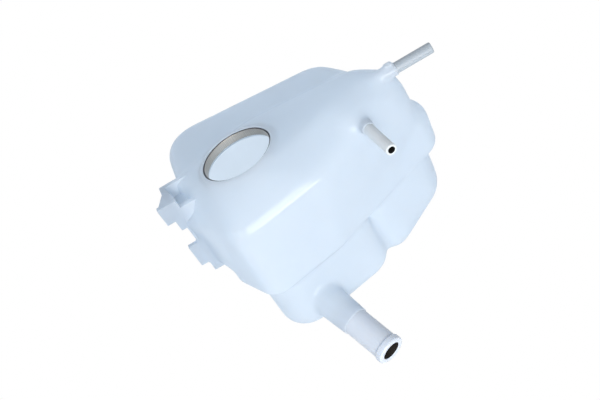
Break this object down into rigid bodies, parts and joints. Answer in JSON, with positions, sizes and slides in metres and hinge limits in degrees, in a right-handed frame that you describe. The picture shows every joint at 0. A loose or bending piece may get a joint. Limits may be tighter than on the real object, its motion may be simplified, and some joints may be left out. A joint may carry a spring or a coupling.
{
  "type": "coolant expansion tank",
  "caption": "Blow-moulded milky coolant expansion tank with a wide metal-lined filler neck, a bottom hose outlet, small vent pipes and stepped mounting ears.",
  "frame": {"origin": "centre of the top edge of the metal ring in the filler neck", "axes": "+Z out of the filler neck along its axis, +X along the side vent tube, -Y towards the front face with the outlet"},
  "size_m": [0.217, 0.1885, 0.1502],
  "materials": {
    "natural_plastic": "milky, slightly translucent, satin gloss as blown",
    "ring_metal": "drawn sheet, satin",
    "outlet_plastic": "milky, a shade greyer than the body",
    "vent_plastic": "milky grey, satin"
  },
  "bodies": {
    "root": {"tank_body": "natural_plastic", "neck_ring": "ring_metal", "outlet_tube": "outlet_plastic", "front_vent_tube": "vent_plastic", "side_vent_tube": "vent_plastic"}
  },
  "joints": []
}
